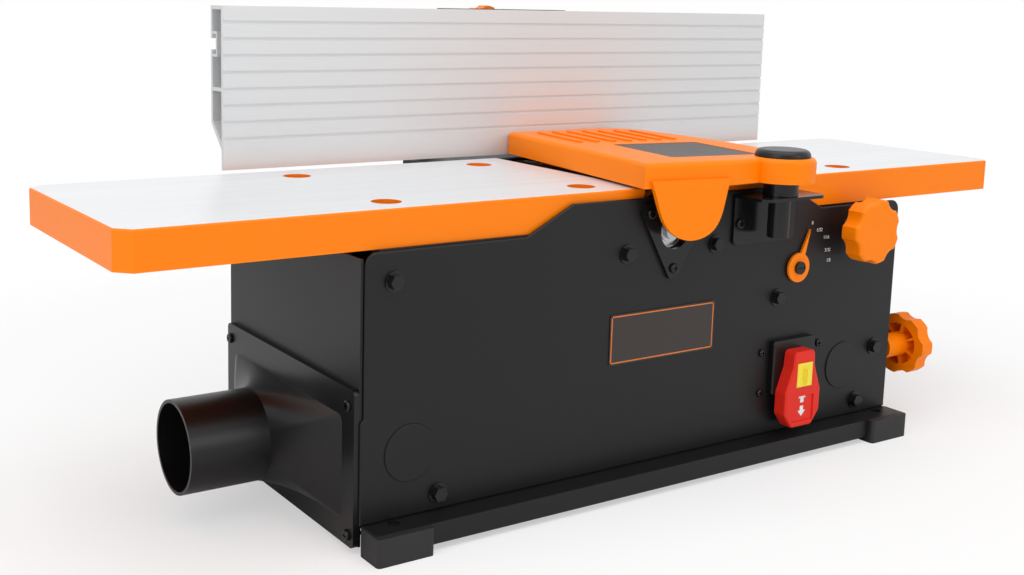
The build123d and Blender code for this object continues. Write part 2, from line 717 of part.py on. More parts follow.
head_pulley = pulley(0, CUT_Z, HEAD_PULLEY_R, JOURNAL_R - CLEAR)
save("head_pulley", head_pulley)
motor_pulley = pulley(MOTOR_X, MOTOR_Z, MOTOR_PULLEY_R, MOTOR_SHAFT_R)
save("motor_pulley", motor_pulley)


def around_pulleys(grow):
    """The outer path of the belt as a closed outline, grown outwards by grow."""
    near = HEAD_PULLEY_R + grow
    far = MOTOR_PULLEY_R + grow
    lean = atan2(MOTOR_Z - CUT_Z, MOTOR_X)
    spread = pi / 2 - atan((near - far) / DRIVE_SPAN)
    points = []
    for sign in (1, -1):
        a = lean + sign * spread
        points.append(((near * cos(a), CUT_Z + near * sin(a)), a))
        points.append(((MOTOR_X + far * cos(a), MOTOR_Z + far * sin(a)), a))
    back = (-near * cos(lean), CUT_Z - near * sin(lean))
    front = (MOTOR_X + far * cos(lean), MOTOR_Z + far * sin(lean))
    with BuildLine() as loop:
        Line(points[0][0], points[1][0])
        ThreePointArc(points[1][0], front, points[3][0])
        Line(points[3][0], points[2][0])
        ThreePointArc(points[2][0], back, points[0][0])
    return loop.line


with BuildPart() as drive_belt:
    with BuildSketch(facing_front(PULLEY_Y + 1 + BELT_WIDTH)) as belt_ring:
        make_face(around_pulleys(BELT_T + 0.3))
        make_face(around_pulleys(0.3), mode=Mode.SUBTRACT)
    extrude(amount=BELT_WIDTH)
save("drive_belt", drive_belt)

with BuildPart() as belt_cover:
    with BuildSketch(facing_front(BACK_OUT + COVER_DEPTH)):
        make_face(around_pulleys(BELT_T + COVER_GAP))
    extrude(amount=COVER_DEPTH)
    fillet(belt_cover.faces().sort_by(Axis.Y)[-1].edges(), 3.0)
    with BuildSketch(facing_front(BACK_OUT + COVER_DEPTH - COVER_WALL)):
        make_face(around_pulleys(BELT_T + COVER_GAP - COVER_WALL))
    extrude(amount=COVER_DEPTH - COVER_WALL, mode=Mode.SUBTRACT)
save("belt_cover", belt_cover)

with BuildPart() as motor_housing:
    rod_y(MOTOR_X, MOTOR_Z, MOTOR_R, (MOTOR_FRONT, BACK_IN - 4))
    fillet(motor_housing.faces().sort_by(Axis.Y)[0].edges(), 5.0)
    with PolarLocations(0, 1):
        for i in range(24):
            a = radians(i * 15)
            fin = (MOTOR_X + MOTOR_R * cos(a), MOTOR_Z + MOTOR_R * sin(a))
            rod_y(fin[0], fin[1], 1.6, (MOTOR_FRONT + 25, BACK_IN - 30), Mode.SUBTRACT)
    rod_y(MOTOR_X, MOTOR_Z, MOTOR_R - 4, (BACK_IN - 4, BACK_IN))
    rod_y(MOTOR_X, MOTOR_Z, MOTOR_SHAFT_R + CLEAR, (MOTOR_FRONT + 8, BACK_IN), Mode.SUBTRACT)
save("motor_housing", motor_housing)

with BuildPart() as motor_shaft:
    rod_y(MOTOR_X, MOTOR_Z, MOTOR_SHAFT_R, (MOTOR_FRONT + 8.3, PULLEY_Y + PULLEY_WIDTH + 2))
save("motor_shaft", motor_shaft)

# ---------------------------------------------------------------- chips and dust
CHUTE_TOP = CASTING_FOOT + 30.0
with BuildPart() as chip_chute:
    wall = CHUTE_WALL
    outer = (
        (-38 - wall, CHUTE_TOP),
        (-38 - wall, CHUTE_TOP - 38),
        (BASE_LEFT + SHEET, CHUTE_MOUTH[1]),
        (BASE_LEFT + SHEET, CHUTE_MOUTH[0]),
        (39 + wall, CHUTE_TOP - 52),
        (39 + wall, CHUTE_TOP),
    )
    inner = (
        (-38, CHUTE_TOP + 1),
        (-38, CHUTE_TOP - 38 - wall),
        (BASE_LEFT, CHUTE_MOUTH[1] - 2),
        (BASE_LEFT, CHUTE_MOUTH[0] + 2),
        (39, CHUTE_TOP - 52 + wall),
        (39, CHUTE_TOP + 1),
    )
    plate_y(outer, (-CHUTE_HALF, CHUTE_HALF))
    plate_y(inner, (wall - CHUTE_HALF, CHUTE_HALF - wall), Mode.SUBTRACT)
    rod_y(0, CUT_Z, CUT_RADIUS + 2.0, (-CHUTE_HALF, CHUTE_HALF), Mode.SUBTRACT)
save("chip_chute", chip_chute)

HOOD_OUT = BASE_LEFT - FLANGE_T
NECK_X = BASE_LEFT - PORT_NECK
MOUTH_X = NECK_X - PORT_LENGTH


def hood_loft(width, height, r, near, far):
    """The funnel from a rounded rectangle at x = near to a circle at x = far."""
    with BuildPart() as piece:
        with BuildSketch(Plane.YZ.offset(near)):
            with Locations((PORT_Y - 3, PORT_Z)):
                RectangleRounded(width, height, 6.0)
        with BuildSketch(Plane.YZ.offset(far)):
            with Locations((PORT_Y, PORT_Z)):
                Circle(r)
        loft()
    return piece.part


funnel = hood_loft(HOOD_WIDTH, HOOD_HEIGHT, PORT_R, HOOD_OUT, NECK_X)
bore = hood_loft(HOOD_WIDTH - 5, HOOD_HEIGHT - 5, PORT_BORE_R, HOOD_OUT, NECK_X)
with BuildPart() as dust_hood:
    add(funnel)
    block((HOOD_OUT, BASE_LEFT), FLANGE_Y, FLANGE_Z)
    fillet(dust_hood.edges().filter_by(Axis.X).sort_by(SortBy.LENGTH)[:4], 4.0)
    rod_x(PORT_Y, PORT_Z, PORT_R, (MOUTH_X, NECK_X))
    add(bore, mode=Mode.SUBTRACT)
    half_w = HOOD_WIDTH / 2 - HOOD_WALL
    half_h = HOOD_HEIGHT / 2 - HOOD_WALL
    block((HOOD_OUT, BASE_LEFT), (-half_w, half_w), (PORT_Z - half_h, PORT_Z + half_h), Mode.SUBTRACT)
    rod_x(PORT_Y, PORT_Z, PORT_BORE_R, (MOUTH_X, NECK_X), Mode.SUBTRACT)
    for y, z in HOOD_SCREWS:
        rod_x(y, z, SWITCH_SCREW_R, (HOOD_OUT, BASE_LEFT), Mode.SUBTRACT)
save("dust_hood", dust_hood)

with BuildPart() as hood_screws:
    for y, z in HOOD_SCREWS:
        rod_x(y, z, SWITCH_SCREW_R, (HOOD_OUT, BASE_LEFT + SHEET + 4))
        rod_x(y, z, 4.0, (HOOD_OUT - 2.5, HOOD_OUT))
    heads = hood_screws.faces().group_by(Axis.X)[0]
    fillet([e for f in heads for e in f.edges()], 1.2)
    for y, z in HOOD_SCREWS:
        slot = (HOOD_OUT - 2.5, HOOD_OUT - 1)
        block(slot, (y - 2.4, y + 2.4), (z - 0.5, z + 0.5), Mode.SUBTRACT)
        block(slot, (y - 0.5, y + 0.5), (z - 2.4, z + 2.4), Mode.SUBTRACT)
save("hood_screws", hood_screws)


def washered_bolts(places, face, side):
    """Hex bolts with washers along Y: side = -1 in front, side = 1 behind."""
    with BuildPart() as piece:
        for x, z in places:
            rod_y(x, z, BOLT_R, sorted((face, face - side * BOLT_REACH)))
            rod_y(x, z, WASHER_R, sorted((face, face + side * 1.2)))
            hex_y(x, z, BOLT_HEAD_R, sorted((face + side * 1.2, face + side * 5.5)))
    return piece


panel_bolts = washered_bolts(PANEL_BOLTS, FRONT_OUT, -1)
save("panel_bolts", panel_bolts)
base_bolts = washered_bolts(REAR_BOLTS, BACK_OUT, 1)
shelf_bolts = washered_bolts(SHELF_BOLTS, BACK_OUT + SHELF_LUG, 1)
with BuildPart() as rear_bolts:
    add(base_bolts.part)
    add(shelf_bolts.part)
save("rear_bolts", rear_bolts)

# ---------------------------------------------------------------- switch
BEZEL_OUT = FRONT_OUT - BEZEL_T
BOX_X = (SWITCH_X - BEZEL_WIDTH / 2 + 4, SWITCH_X + BEZEL_WIDTH / 2 - 4)
BOX_Z = (SWITCH_Z - BEZEL_HEIGHT / 2 + 4, SWITCH_Z + BEZEL_HEIGHT / 2 - 4)
with BuildPart() as switch_bezel:
    bezel_x = (SWITCH_X - BEZEL_WIDTH / 2, SWITCH_X + BEZEL_WIDTH / 2)
    bezel_z = (SWITCH_Z - BEZEL_HEIGHT / 2, SWITCH_Z + BEZEL_HEIGHT / 2)
    block(bezel_x, (BEZEL_OUT, FRONT_OUT), bezel_z)
    fillet(switch_bezel.edges().filter_by(Axis.Y), 3.0)
    fillet(switch_bezel.faces().sort_by(Axis.Y)[0].edges(), 1.5)
    block(BOX_X, (BEZEL_OUT + 2, FRONT_OUT), BOX_Z, Mode.SUBTRACT)
save("switch_bezel", switch_bezel)

with BuildPart() as switch_box:
    block(
        (BOX_X[0] + CLEAR, BOX_X[1] - CLEAR),
        (BEZEL_OUT + 2, FRONT_IN + 30),
        (BOX_Z[0] + CLEAR, BOX_Z[1] - CLEAR),
    )
    fillet(switch_box.edges().filter_by(Axis.Y), 2.0)
save("switch_box", switch_box)

PADDLE_BACK = BEZEL_OUT - 0.3
PADDLE_OUT = PADDLE_BACK - 12.0
PADDLE_TOP = SWITCH_Z + 15.5
PADDLE_LOW = SWITCH_Z - 50.5
KEY_TOP = SWITCH_Z + 5.5
KEY_LOW = SWITCH_Z - 15.5
with BuildPart() as switch_paddle:
    half = PADDLE_WIDTH / 2
    shape = (
        (SWITCH_X - 12, PADDLE_TOP),
        (SWITCH_X + 12, PADDLE_TOP),
        (SWITCH_X + 13, KEY_TOP - 4),
        (SWITCH_X + half, KEY_LOW - 4),
        (SWITCH_X + half, PADDLE_LOW + 12),
        (SWITCH_X + 12, PADDLE_LOW),
        (SWITCH_X - 12, PADDLE_LOW),
        (SWITCH_X - half, PADDLE_LOW + 12),
        (SWITCH_X - half, KEY_LOW - 4),
        (SWITCH_X - 13, KEY_TOP - 4),
    )
    plate_y(shape, (PADDLE_OUT, PADDLE_BACK))
    fillet(switch_paddle.edges().filter_by(Axis.Y), 4.0)
    fillet(switch_paddle.faces().sort_by(Axis.Y)[0].edges(), 2.0)
    key_x = (SWITCH_X - 9, SWITCH_X + 9)
    block(key_x, (PADDLE_OUT, PADDLE_BACK - 3), (KEY_LOW, KEY_TOP), Mode.SUBTRACT)
    thumb = (SWITCH_X - 13, SWITCH_X + 13)
    block(thumb, (PADDLE_OUT, PADDLE_OUT + 1.2), (PADDLE_LOW + 5, KEY_LOW - 8), Mode.SUBTRACT)
save("switch_paddle", switch_paddle)

with BuildPart() as safety_key:
    gap = 0.2
    block(
        (SWITCH_X - 9 + gap, SWITCH_X + 9 - gap),
        (PADDLE_OUT - 1.0, PADDLE_BACK - 3 - gap),
        (KEY_LOW + gap, KEY_TOP - gap),
    )
    fillet(safety_key.faces().sort_by(Axis.Y)[0].edges(), 1.0)
    grip = (SWITCH_X - 2, SWITCH_X + 2)
    block(grip, (PADDLE_OUT - 5, PADDLE_OUT - 1.0), (KEY_LOW + 4, KEY_TOP - 4))
save("safety_key", safety_key)

# ---------------------------------------------------------------- depth pointer and scale
with BuildPart() as depth_pointer:
    lean = radians(90 - POINTER_ANGLE)
    tip = (POINTER_X + POINTER_LENGTH * cos(lean), POINTER_Z + POINTER_LENGTH * sin(lean))
    side = (-sin(lean) * 4.0, cos(lean) * 4.0)
    arm = (
        (POINTER_X + side[0], POINTER_Z + side[1]),
        tip,
        (POINTER_X - side[0], POINTER_Z - side[1]),
    )
    plate_y(arm, (FRONT_OUT - 3, FRONT_OUT - 1))
    rod_y(POINTER_X, POINTER_Z, POINTER_R, (FRONT_OUT - 3, FRONT_OUT - 1))
    rod_y(POINTER_X, POINTER_Z, 4.0 + CLEAR, (FRONT_OUT - 3, FRONT_OUT - 1), Mode.SUBTRACT)
save("depth_pointer", depth_pointer)

with BuildPart() as pointer_screw:
    rod_y(POINTER_X, POINTER_Z, SWITCH_SCREW_R, (FRONT_OUT, FRONT_IN + 4))
    rod_y(POINTER_X, POINTER_Z, 4.0, (FRONT_OUT - 3.3, FRONT_OUT))
    rod_y(POINTER_X, POINTER_Z, 5.5, (FRONT_OUT - 5.3, FRONT_OUT - 3.3))
    slot = (FRONT_OUT - 5.3, FRONT_OUT - 4.3)
    block((POINTER_X - 5, POINTER_X + 5), slot, (POINTER_Z - 0.6, POINTER_Z + 0.6), Mode.SUBTRACT)
save("pointer_screw", pointer_screw)

# ---------------------------------------------------------------- lock and depth knobs
with BuildPart() as lock_bushing:
    rod_y(LOCK_X, LOCK_Z, STUD_R + 5.0, (FRONT_OUT - 3, FRONT_OUT))
    rod_y(LOCK_X, LOCK_Z, STUD_R + 3.0, (FRONT_OUT, FRONT_IN + 3))
    rod_y(LOCK_X, LOCK_Z, STUD_R + CLEAR, (FRONT_OUT - 3, FRONT_IN + 3), Mode.SUBTRACT)
save("lock_bushing", lock_bushing)

LOCK_HUB_Y = FRONT_OUT - 3.3
lock_plane = Plane(origin=(LOCK_X, LOCK_HUB_Y, LOCK_Z), x_dir=(1, 0, 0), z_dir=(0, -1, 0))
lock_handle = knob(lock_plane, LOCK_HUB, STUD_R)
with BuildPart() as lock_knob:
    add(lock_handle.part)
    rod_y(LOCK_X, LOCK_Z, STUD_R, (LOCK_HUB_Y - LOCK_HUB - 8, -WAY_OUT - 0.3))
save("lock_knob", lock_knob)

BUSH_X = (236.0, 262.0)
with BuildPart() as bush_block:
    block(BUSH_X, (FRONT_IN, SCREW_Y + 12), (SCREW_Z - 12, SCREW_Z + 16))
    fillet(bush_block.edges().filter_by(Axis.X), 2.0)
    rod_x(SCREW_Y, SCREW_Z, SCREW_R + CLEAR, BUSH_X, Mode.SUBTRACT)
    rod_y(PANEL_BOLTS[6][0], PANEL_BOLTS[6][1], BOLT_R, (FRONT_IN, SCREW_Y + 12), Mode.SUBTRACT)
save("bush_block", bush_block)

with BuildPart() as leadscrew:
    rod_x(SCREW_Y, SCREW_Z, SCREW_R, (NUT_X - 30, KNOB_X + 8))
    for x in (BUSH_X[0] - 4.3, BUSH_X[1] + 0.3):
        rod_x(SCREW_Y, SCREW_Z, SCREW_R + 3, (x, x + 4))
save("leadscrew", leadscrew)

depth_plane = Plane(origin=(KNOB_X - 24, SCREW_Y, SCREW_Z), x_dir=(0, 1, 0), z_dir=(1, 0, 0))
depth_knob = knob(depth_plane, 24.0, SCREW_R)
save("depth_knob", depth_knob)

NUT_BACK = SCREW_Y + 8
with BuildPart() as depth_nut:
    block((NUT_X - NUT_HALF, NUT_X + NUT_HALF), (SCREW_Y - 8, NUT_BACK), (SCREW_Z - 9, SCREW_Z + 9))
    fillet(depth_nut.edges().filter_by(Axis.X), 1.5)
    rod_x(SCREW_Y, SCREW_Z, SCREW_R + CLEAR, (NUT_X - NUT_HALF, NUT_X + NUT_HALF), Mode.SUBTRACT)
    rod_y(NUT_X, SCREW_Z, 4.0, (NUT_BACK, NUT_BACK + ARM_T + 2))
save("depth_nut", depth_nut)

with BuildPart() as depth_arm:
    arm_y = (NUT_BACK + 0.5, NUT_BACK + 0.5 + ARM_T)
    bar_bottom = TABLE_UNDER - CROSSBAR_HEIGHT + 2
    outline = (
        (NUT_X - 8, SCREW_Z - 10),
        (NUT_X + 8, SCREW_Z - 10),
        (NUT_X + 8, bar_bottom - 20),
        (INFEED_SCREW_X[1], bar_bottom),
        (INFEED_SCREW_X[1] - CROSSBAR_HALF, bar_bottom),
        (NUT_X - 8, bar_bottom - 30),
    )
    plate_y(outline, arm_y)
    rod_y(NUT_X, SCREW_Z, 4.0 + CLEAR, arm_y, Mode.SUBTRACT)
    rod_y(NUT_X, SCREW_Z + DEPTH_OF_CUT + 0.2, 4.0 + CLEAR, arm_y, Mode.SUBTRACT)
    window = (SCREW_Z, SCREW_Z + DEPTH_OF_CUT + 0.2)
    block((NUT_X - 4 - CLEAR, NUT_X + 4 + CLEAR), arm_y, window, Mode.SUBTRACT)
save("depth_arm", depth_arm)

# ---------------------------------------------------------------- cutter guard
GUARD_OUTLINE = (
    (-41.5, -121.5),
    (-6.0, 104.5),
    (98.0, 104.5),
    (120.0, 95.0),
    (130.0, 70.0),
    (134.0, 20.0),
    (133.0, -30.0),
    (124.0, -118.0),
    (PIVOT_X, PIVOT_Y),
    (40.0, -134.0),
)
FRONT_RUN = (GUARD_OUTLINE[-1][0] - GUARD_OUTLINE[0][0], GUARD_OUTLINE[-1][1] - GUARD_OUTLINE[0][1])
GUARD_LEAN = tuple(run / sqrt(FRONT_RUN[0] ** 2 + FRONT_RUN[1] ** 2) for run in FRONT_RUN)
LOBE = (
    (-37.0, GUARD_BOTTOM + 6),
    (-29.0, GUARD_BOTTOM - 16),
    (-21.0, GUARD_BOTTOM - 31),
    (-2.0, GUARD_BOTTOM - 41),
    (21.5, GUARD_BOTTOM - 33),
    (30.0, GUARD_BOTTOM - 12),
    (34.0, GUARD_BOTTOM + 6),
)


def along_front(distance, y_out):
    """A point of the guard's front wall, at a distance along it and y_out from it."""
    x = -41.5 + distance * GUARD_LEAN[0] + y_out * GUARD_LEAN[1]
    y = -121.5 + distance * GUARD_LEAN[1] - y_out * GUARD_LEAN[0]
    return (x, y)


with BuildPart() as guard:
    with BuildSketch(Plane.XY.offset(GUARD_BOTTOM)):
        with BuildLine():
            Polyline(*GUARD_OUTLINE, close=True)
        make_face()
        with Locations((PIVOT_X, PIVOT_Y)):
            Circle(BOSS_R)
    extrude(amount=GUARD_TOP - GUARD_BOTTOM)
    fillet(guard.faces().sort_by(Axis.Z)[-1].edges(), 4.0)
    with BuildSketch(Plane.XY.offset(GUARD_BOTTOM)):
        with BuildLine():
            Polyline(*GUARD_OUTLINE, close=True)
        make_face()
        offset(amount=-GUARD_WALL - 1.0)
        with Locations((PIVOT_X, PIVOT_Y)):
            Circle(BOSS_R, mode=Mode.SUBTRACT)
    extrude(amount=GUARD_TOP - GUARD_BOTTOM - GUARD_WALL, mode=Mode.SUBTRACT)
    front = Plane(
        origin=(*along_front(0, 3.0), 0),
        x_dir=(GUARD_LEAN[0], GUARD_LEAN[1], 0),
        z_dir=(GUARD_LEAN[1], -GUARD_LEAN[0], 0),
    )
    with BuildSketch(front) as lobe:
        with BuildLine():
            Spline(*[((x + 41.5) / GUARD_LEAN[0], z) for x, z in LOBE])
            Line(
                ((LOBE[-1][0] + 41.5) / GUARD_LEAN[0], LOBE[-1][1]),
                ((LOBE[0][0] + 41.5) / GUARD_LEAN[0], LOBE[0][1]),
            )
        make_face()
    extrude(amount=-GUARD_WALL - 1.0)
    ribs = Plane(
        origin=(*along_front(0, 0), GUARD_TOP),
        x_dir=(GUARD_LEAN[0], GUARD_LEAN[1], 0),
        z_dir=(0, 0, 1),
    )
    with BuildSketch(ribs):
        for i in range(7):
            with Locations((24.0 + i * 16.0, 176.0)):
                SlotOverall(84.0 - abs(i - 2.5) * 3, 5.0, rotation=90)
    extrude(amount=1.5)
    with BuildSketch(ribs):
        with Locations((85.0, 74.0)):
            RectangleRounded(84.0, 90.0, 4.0)
    extrude(amount=-1.0, mode=Mode.SUBTRACT)
    rod_z(PIVOT_X, PIVOT_Y, SHAFT_R, (GUARD_BOTTOM, GUARD_TOP - 4), Mode.SUBTRACT)
save("guard", guard)

with BuildPart() as guard_label:
    with BuildSketch(ribs.offset(-1.0)):
        with Locations((85.0, 74.0)):
            RectangleRounded(83.6, 89.6, 4.0)
    extrude(amount=0.6)
save("guard_label", guard_label)

CAP_BASE = GUARD_TOP
with BuildPart() as guard_cap:
    rod_z(PIVOT_X, PIVOT_Y, CAP_R - 3.0, (CAP_BASE, CAP_BASE + 6.0))
    fillet(guard_cap.faces().sort_by(Axis.Z)[-1].edges(), 5.0)
save("guard_cap", guard_cap)

with BuildPart() as guard_shaft:
    rod_z(PIVOT_X, PIVOT_Y, SHAFT_R, (BRACKET_TOP - 32, GUARD_TOP - 4))
    rod_z(PIVOT_X, PIVOT_Y, COLLAR_R, (BRACKET_TOP + 0.3, GUARD_BOTTOM))
    chamfer(guard_shaft.faces().sort_by(Axis.Z)[0].edges(), 1.0)
save("guard_shaft", guard_shaft)

with BuildPart() as guard_bracket:
    bracket_x = (99.0 - BRACKET_HALF, 99.0 + BRACKET_HALF)
    block(bracket_x, (FRONT_OUT - BRACKET_T, FRONT_OUT), (BRACKET_TOP - 42, BRACKET_TOP))
    block(bracket_x, (FRONT_OUT - 36, FRONT_OUT), (BRACKET_TOP - BRACKET_T, BRACKET_TOP))
    fillet(guard_bracket.edges().filter_by(Axis.Z).sort_by(Axis.Y)[:2], 8.0)
    fillet(guard_bracket.edges().filter_by(Axis.Y).group_by(Axis.Z)[0], 5.0)
    rod_z(PIVOT_X, PIVOT_Y, BARREL_R, (BRACKET_TOP - 34, BRACKET_TOP))
    rod_z(PIVOT_X, PIVOT_Y, SHAFT_R + CLEAR, (BRACKET_TOP - 34, BRACKET_TOP), Mode.SUBTRACT)
    for x, z in BRACKET_SCREWS:
        rod_y(x, z, SWITCH_SCREW_R, (FRONT_OUT - BRACKET_T, FRONT_OUT), Mode.SUBTRACT)
save("guard_bracket", guard_bracket)

# ---------------------------------------------------------------- fence
with BuildPart() as fence:
    with BuildSketch(facing_right(FENCE_LEFT)):
        with BuildLine():
            Polyline(
                (FENCE_FACE, FENCE_BOTTOM),
                (FENCE_FACE + FENCE_WALL, FENCE_BOTTOM),
                (FENCE_FACE + FENCE_WALL, FENCE_BOTTOM + 16),
                (FENCE_BACK, FENCE_BOTTOM + 36),
                (FENCE_BACK, FENCE_TOP),
                (FENCE_FACE, FENCE_TOP),
                close=True,
            )
        make_face()
        web_z = FENCE_BOTTOM + 64
        with BuildLine():
            Polyline(
                (FENCE_FACE + FENCE_WALL, FENCE_BOTTOM + 22),
                (FENCE_BACK - FENCE_WALL, FENCE_BOTTOM + 38),
                (FENCE_BACK - FENCE_WALL, web_z - 1.5),
                (FENCE_FACE + FENCE_WALL, web_z - 1.5),
                close=True,
            )
        make_face(mode=Mode.SUBTRACT)
        with BuildLine():
            Polyline(
                (FENCE_FACE + FENCE_WALL, web_z + 1.5),
                (FENCE_BACK - FENCE_WALL, web_z + 1.5),
                (FENCE_BACK - FENCE_WALL, SLOT_Z - SLOT_HALF - 2),
                (FENCE_BACK - SLOT_DEPTH - 2, SLOT_Z - SLOT_HALF - 2),
                (FENCE_BACK - SLOT_DEPTH - 2, SLOT_Z + SLOT_HALF + 2),
                (FENCE_BACK - FENCE_WALL, SLOT_Z + SLOT_HALF + 2),
                (FENCE_BACK - FENCE_WALL, FENCE_TOP - FENCE_WALL),
                (FENCE_FACE + FENCE_WALL, FENCE_TOP - FENCE_WALL),
                close=True,
            )
        make_face(mode=Mode.SUBTRACT)
        with Locations((FENCE_BACK, SLOT_Z)):
            Rectangle(2 * FENCE_WALL + 1, 2 * SLOT_MOUTH, mode=Mode.SUBTRACT)
        with Locations((FENCE_BACK - (FENCE_WALL + SLOT_DEPTH) / 2, SLOT_Z)):
            Rectangle(SLOT_DEPTH - FENCE_WALL, 2 * SLOT_HALF, mode=Mode.SUBTRACT)
        for i in range(GROOVES):
            with Locations((FENCE_FACE, FENCE_BOTTOM + 25 + i * GROOVE_PITCH)):
                Rectangle(2 * GROOVE_DEPTH, 2.4, mode=Mode.SUBTRACT)
    extrude(amount=FENCE_LENGTH)
save("fence", fence)

SHELF_X = (-100.0, 100.0)
EAR_X = (CHEEK_LEFT + CHEEK_T + 0.3, CHEEK_RIGHT - CHEEK_T - 0.3)
with BuildPart() as fence_base:
    block(SHELF_X, (BACK_IN - 11, SHELF_BACK), (SHELF_Z, SHELF_Z + SHELF_T))
    for x in ((SHELF_X[0], -42), (42, SHELF_X[1])):
        block(x, (BACK_OUT, BACK_OUT + SHELF_LUG), (PANEL_TOP + 3, SHELF_Z))
    fillet(fence_base.edges().filter_by(Axis.Z), 1.5)
    for x in ((EAR_X[0], EAR_X[0] + EAR_T), (EAR_X[1] - EAR_T, EAR_X[1])):
        ear = (
            (SHELF_BACK - 12, SHELF_Z + SHELF_T),
            (SHELF_BACK - 12, SHELF_Z),
            (PIN_Y - 2, SHELF_Z - 10),
            (PIN_Y + 12, PIN_Z - 12),
            (PIN_Y + 12, PIN_Z + 3),
            (PIN_Y + 5, PIN_Z + 9),
            (PIN_Y - 6, PIN_Z + 7),
            (SHELF_BACK + 15, SHELF_Z + SHELF_T),
        )
        plate_x(ear, x)
    rod_x(PIN_Y, PIN_Z, TILT_PIN_R, EAR_X, Mode.SUBTRACT)
    for x, z in SHELF_BOLTS:
        rod_y(x, z, BOLT_R, (BACK_OUT, BACK_OUT + SHELF_LUG), Mode.SUBTRACT)
save("fence_base", fence_base)


def about_tilt(r, angle):
    """The y, z point at a radius and an angle in degrees from the fence's tilt axis."""
    a = radians(angle)
    return (FENCE_FACE + r * cos(a), FENCE_BOTTOM + r * sin(a))


with BuildPart() as fence_tilt_bracket:
    gap = 0.2
    back = (FENCE_BACK + gap, FENCE_BACK + gap + 4)
    block((CHEEK_LEFT, CHEEK_RIGHT), back, (FENCE_BOTTOM + 42, CHEEK_TOP))
    block((CHEEK_LEFT, CHEEK_RIGHT), (back[0], back[0] + 22), (CHEEK_TOP - 4, CHEEK_TOP))
    block((CHEEK_LEFT, CHEEK_RIGHT), (back[0] + 18, back[0] + 22), (CHEEK_TOP - 40, CHEEK_TOP))
    for x in ((CHEEK_LEFT, CHEEK_LEFT + CHEEK_T), (CHEEK_RIGHT - CHEEK_T, CHEEK_RIGHT)):
        cheek = [
            (back[0], CHEEK_TOP),
            (back[0], FENCE_BOTTOM + 42),
            about_tilt(TILT_R - 12, 40),
            about_tilt(TILT_R - 12, 22),
            about_tilt(TILT_R - 12, TILT_ANGLE - 8),
            about_tilt(TILT_R + 12, TILT_ANGLE - 8),
            about_tilt(TILT_R + 14, 30),
            about_tilt(TILT_R + 14, 52),
            (back[0] + 22, CHEEK_TOP - 44),
            (back[0] + 22, CHEEK_TOP),
        ]
        plate_x(cheek, x)
    slot_ends = (TILT_ANGLE, TILT_ANGLE + TILT_MAX)
    slot_r = TILT_PIN_R + 0.3
    with BuildSketch(facing_right(CHEEK_LEFT - 1)):
        with BuildLine():
            far = ThreePointArc(
                about_tilt(TILT_R + slot_r, slot_ends[0]),
                about_tilt(TILT_R + slot_r, sum(slot_ends) / 2),
                about_tilt(TILT_R + slot_r, slot_ends[1]),
            )
            Line(far @ 1, about_tilt(TILT_R - slot_r, slot_ends[1]))
            near = ThreePointArc(
                about_tilt(TILT_R - slot_r, slot_ends[1]),
                about_tilt(TILT_R - slot_r, sum(slot_ends) / 2),
                about_tilt(TILT_R - slot_r, slot_ends[0]),
            )
            Line(near @ 1, far @ 0)
        make_face()
        for end in slot_ends:
            with Locations(about_tilt(TILT_R, end)):
                Circle(slot_r)
    extrude(amount=CHEEK_RIGHT - CHEEK_LEFT + 2, mode=Mode.SUBTRACT)
    for x in (CHEEK_LEFT + 20, CHEEK_RIGHT - 20):
        rod_y(x, SLOT_Z, BOLT_R + 0.5, back, Mode.SUBTRACT)
        rod_y(x, SLOT_Z, 9.0, (back[0] + 18, back[0] + 22), Mode.SUBTRACT)
    rod_y(-2.0, SLOT_Z + 11, STUD_R + CLEAR, (back[0] + 18, back[0] + 22), Mode.SUBTRACT)
save("fence_tilt_bracket", fence_tilt_bracket)

with BuildPart() as slot_bolts:
    for x in (CHEEK_LEFT + 20, CHEEK_RIGHT - 20):
        rod_y(x, SLOT_Z, BOLT_R + 0.4, (FENCE_BACK - SLOT_DEPTH + 1, FENCE_BACK + gap + 4))
        rod_y(x, SLOT_Z, SLOT_HALF - 0.5, (FENCE_BACK - SLOT_DEPTH + 1, FENCE_BACK - FENCE_WALL))
        hex_y(x, SLOT_Z, 7.0, (FENCE_BACK + gap + 4, FENCE_BACK + gap + 9))
save("slot_bolts", slot_bolts)

with BuildPart() as tilt_pin:
    rod_x(PIN_Y, PIN_Z, TILT_PIN_R, (CHEEK_LEFT - 6, CHEEK_RIGHT + 12))
    rod_x(PIN_Y, PIN_Z, 8.0, (CHEEK_LEFT - 6, CHEEK_LEFT - 0.2))
    rod_x(PIN_Y, PIN_Z, 8.0, (CHEEK_RIGHT + 0.2, CHEEK_RIGHT + 4))
save("tilt_pin", tilt_pin)

with BuildPart() as tilt_lock_lever:
    rod_x(PIN_Y, PIN_Z, 9.0, (CHEEK_RIGHT + 4.2, CHEEK_RIGHT + 16))
    rod_x(PIN_Y, PIN_Z, TILT_PIN_R + CLEAR, (CHEEK_RIGHT + 4.2, CHEEK_RIGHT + 12.2), Mode.SUBTRACT)
    lever = (
        (PIN_Y + 8, PIN_Z - 4),
        (PIN_Y + 58, PIN_Z - 6),
        (PIN_Y + 64, PIN_Z),
        (PIN_Y + 58, PIN_Z + 6),
        (PIN_Y + 8, PIN_Z + 4),
    )
    plate_x(lever, (CHEEK_RIGHT + 6, CHEEK_RIGHT + 14))
save("tilt_lock_lever", tilt_lock_lever)

